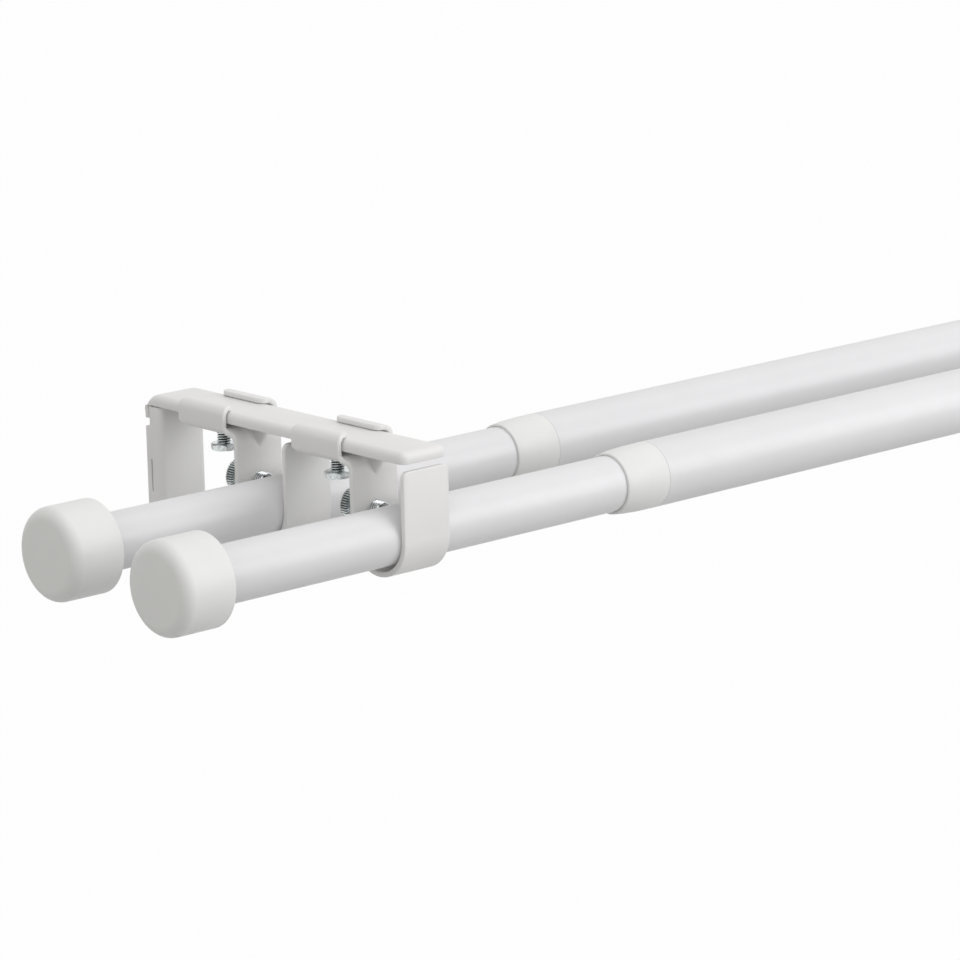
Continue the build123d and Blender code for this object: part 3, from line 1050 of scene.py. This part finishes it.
# %% [markdown]
# ## The leg
# The leg is one sheet folded into a channel: a front plate and two flanges that end on
# the wall. Beside the hook strip the flanges are cut short, and a slit along each one
# leaves a springy edge. A column of edges is pulled and bent round the channel's plan,
# and the faces of the notches and slits are taken out before the sheet gets thick.

# %% The leg's channel
LEG_DEPTH = 7.0
LEG_FOLD_R = 1.8
LEG_FOLD_STEPS = 6
LEG_TAB_HALF = 6.0
SEAM_GAP = 0.3
NOTCH_HEIGHT = 2.3
SLIT_WIDTH = 0.6
SLIT_LENGTH = 9.5
SLIT_INSET = 2.1
SLIT_DROP = 23.6


def leg_channel(half, height):
    """The leg under a tray whose top is at height zero."""
    leg_top = -ARM_HEIGHT - SEAM_GAP
    notch_z = -BACK_STRIP - NOTCH_HEIGHT
    slit_low = -SLIT_DROP - SLIT_LENGTH / 2
    slit_high = slit_low + SLIT_LENGTH
    slit_near = SLIT_INSET - SLIT_WIDTH / 2
    slit_far = SLIT_INSET + SLIT_WIDTH / 2
    depths = [slit_near, slit_far, LEG_DEPTH - LEG_FOLD_R]
    bm = bmesh.new()
    levels = (-height, slit_low, slit_high, notch_z, leg_top)
    points = [bm.verts.new((-half, 0, level)) for level in levels]
    column = [bm.edges.new(pair) for pair in zip(points, points[1:])]
    column = rows_through(bm, column, -TO_WALL, 0, depths)
    fold_x = half - LEG_FOLD_R
    fold_y = LEG_FOLD_R - LEG_DEPTH
    column = bend_row(bm, column, (-fold_x, fold_y, 0), UP, math.pi / 2, LEG_FOLD_STEPS)
    column = rows_through(bm, column, ALONG, -fold_x, (-LEG_TAB_HALF, LEG_TAB_HALF, fold_x))
    column = bend_row(bm, column, (fold_x, fold_y, 0), UP, math.pi / 2, LEG_FOLD_STEPS)
    back_to_wall = [-depth for depth in depths[-2::-1]] + [0]
    rows_through(bm, column, TO_WALL, -depths[-1], back_to_wall)

    cut_out = []
    for face in bm.faces:
        spot = face.calc_center_median()
        in_notch = spot.z > notch_z and -slit_near < spot.y
        in_slit = slit_low < spot.z < slit_high and -slit_far < spot.y < -slit_near
        if in_notch or in_slit:
            cut_out.append(face)
    bmesh.ops.delete(bm, geom=cut_out, context="FACES")

    def on_tab_foot(vert):
        return (vert.co - Vector((0, -LEG_DEPTH, leg_top))).yz.length < NEAR

    top_edges = [edge for edge in bm.edges if all(map(on_tab_foot, edge.verts))]
    tab = [edge for edge in top_edges if edge.calc_length() > LEG_TAB_HALF]
    pull_row(bm, tab, UP * (-BRACKET_SHEET - leg_top))
    face_sheet(bm, Vector((0, -LEG_DEPTH, -height / 2)), -TO_WALL)
    thicken(bm, BRACKET_SHEET)
    return bm


print(f"leg: {LEG_DEPTH} mm deep, with slits of {SLIT_LENGTH} mm")

# %% Make the two brackets, and paint the wall plates
BRACKET_EDGE_BREAK = 0.25


def in_back_bend(edge):
    """Whether an edge is where the flanges run out, which leaves no room for a bevel."""
    return any(min(vert.co.y, vert.co.z) > NEAR - BACK_BEND_R for vert in edge.verts)


for end in ("left", "right"):
    node = f"{end}_bracket"
    low, high = corners(node)
    half = (high.x - low.x) / 2
    bm = arm_tray(half, -low.y)
    border = [edge for edge in cut_edges(bm) if not in_back_bend(edge)]
    round_edges(bm, border, BRACKET_EDGE_BREAK, segments=3)
    leg = leg_channel(half, high.z - low.z)
    round_edges(leg, cut_edges(leg), BRACKET_EDGE_BREAK, segments=3)
    join(bm, leg)
    bmesh.ops.translate(bm, vec=((low.x + high.x) / 2, high.y, high.z), verts=bm.verts)
    keep_piece(bm, node, bracket_paint)

    plate = frame["nodes"][f"{end}_wall_plate"]
    plate.data.materials.clear()
    plate.data.materials.append(bracket_paint)
    print(f"{plate.name}: painted")

# %% [markdown]
# ## The camera
# The photograph is taken from the room, left of the bracket and a little above it, with a
# long lens. The camera stands where the tubes, the bracket and the caps all line up with
# it. Its matrix is put together from a heading, a tilt and a slight roll.

# %% Set up the camera
LENS_MM = 166.68
SENSOR_MM = 36
CAMERA_PLACE = Vector((-0.75584, -0.98286, 0.29191))
HEADING = math.radians(41.659)
TILT = math.radians(13.469)
ROLL = math.radians(-1.2426)

camera = bpy.data.cameras.new("camera")
camera.lens = LENS_MM
camera.sensor_width = SENSOR_MM
camera.clip_start = 0.05
camera.clip_end = 30
viewer = bpy.data.objects.new("camera", camera)
bpy.context.collection.objects.link(viewer)
turn = Matrix.Rotation(-HEADING, 4, "Z") @ Matrix.Rotation(math.pi / 2 - TILT, 4, "X")
viewer.matrix_world = Matrix.Translation(CAMERA_PLACE) @ turn @ Matrix.Rotation(ROLL, 4, "Z")
bpy.context.scene.camera = viewer
print("camera at", [round(part, 3) for part in viewer.location])

# %% [markdown]
# ## The floor and the white room
# The photograph has a plain white ground. The floor lies well below the rods, and what
# the camera sees of it is mostly its own white, so the rods' shadow stays faint. The same
# white is shown to reflections, while the rest of the light from the floor and the room
# keeps a plain level.

# %% A white floor and a white room
def seen_directly(tree):
    """One for rays that come from the camera, a reflection or a refraction."""
    path = tree.nodes.new("ShaderNodeLightPath")
    either = tree.nodes.new("ShaderNodeMath")
    either.operation = "MAXIMUM"
    link(tree, path, "Is Camera Ray", either, 0)
    link(tree, path, "Is Glossy Ray", either, 1)
    any_of = tree.nodes.new("ShaderNodeMath")
    any_of.operation = "MAXIMUM"
    link(tree, either, "Value", any_of, 0)
    link(tree, path, "Is Transmission Ray", any_of, 1)
    return any_of


FLOOR_DROP = 0.16
FLOOR_SIZE = 12.0
FLOOR_WHITE = 0.98
FLOOR_GREY = 0.45
FLOOR_ROUGHNESS = 0.9

bm = bmesh.new()
bmesh.ops.create_grid(bm, x_segments=1, y_segments=1, size=FLOOR_SIZE / 2)
bmesh.ops.translate(bm, vec=(0, 0, cad_low.z - FLOOR_DROP), verts=bm.verts)
ground = bpy.data.meshes.new("floor")
bm.to_mesh(ground)
bm.free()
floor = bpy.data.objects.new("floor", ground)
bpy.context.collection.objects.link(floor)

floor_finish = bpy.data.materials.new("floor_white")
floor_finish.use_nodes = True
tree = floor_finish.node_tree
surface = tree.nodes["Principled BSDF"]
surface.inputs["Base Color"].default_value = (FLOOR_GREY, FLOOR_GREY, FLOOR_GREY, 1)
surface.inputs["Roughness"].default_value = FLOOR_ROUGHNESS
glow = tree.nodes.new("ShaderNodeEmission")
share = tree.nodes.new("ShaderNodeMath")
share.operation = "MULTIPLY"
share.inputs[1].default_value = FLOOR_WHITE
link(tree, seen_directly(tree), "Value", share, 0)
blend = tree.nodes.new("ShaderNodeMixShader")
link(tree, share, "Value", blend, "Fac")
link(tree, surface, "BSDF", blend, 1)
link(tree, glow, "Emission", blend, 2)
link(tree, blend, "Shader", tree.nodes["Material Output"], "Surface")
ground.materials.append(floor_finish)
print("floor at", round(cad_low.z - FLOOR_DROP, 3))

# %% The room's light
ROOM_LIGHT = 0.6
ROOM_COLOUR = (1.0, 0.99, 0.965)

room = bpy.data.worlds.new("white_room")
room.use_nodes = True
bpy.context.scene.world = room
tree = room.node_tree
level = tree.nodes.new("ShaderNodeMapRange")
level.inputs["To Min"].default_value = ROOM_LIGHT
level.inputs["To Max"].default_value = 1.0
seen = seen_directly(tree)
link(tree, seen, "Value", level, "Value")
link(tree, level, "Result", tree.nodes["Background"], "Strength")
hue = tree.nodes.new("ShaderNodeMix")
hue.data_type = "RGBA"
hue.inputs["A"].default_value = (*ROOM_COLOUR, 1)
hue.inputs["B"].default_value = (1, 1, 1, 1)
link(tree, seen, "Value", hue, "Factor")
link(tree, hue, "Result", tree.nodes["Background"], "Color")
print("room light", ROOM_LIGHT)

# %% [markdown]
# ## Studio lamps
# The sides that face the room are the brightest, the tops a little less, and the sides
# that face left a middle grey. So the main light is a large soft box in front of the rods,
# right of the camera and a little above it. A weaker, cooler one hangs overhead, and a
# faint one at the left opens the ends of the caps.

# %% Hang the soft boxes
AIM = Vector((0.05, -0.08, 0.0))


def soft_box(name, place, size, power, colour):
    """A square lamp that looks at the bracket."""
    lamp = bpy.data.lights.new(name, "AREA")
    lamp.shape = "SQUARE"
    lamp.size = size
    lamp.energy = power
    lamp.color = colour
    box = bpy.data.objects.new(name, lamp)
    box.location = place
    box.rotation_euler = (AIM - Vector(place)).to_track_quat("-Z", "Y").to_euler()
    bpy.context.collection.objects.link(box)


soft_box("front_box", (0.8, -1.4, 0.55), 1.2, 11, (0.985, 0.98, 1.0))
soft_box("overhead_box", (-0.1, -0.4, 1.6), 1.4, 6.5, (0.96, 0.95, 1.0))
soft_box("left_box", (-1.5, -0.6, 0.1), 0.8, 1.0, (1.0, 0.99, 0.97))
print("three soft boxes")

# %% Set the view transform
bpy.context.scene.view_settings.view_transform = "Standard"
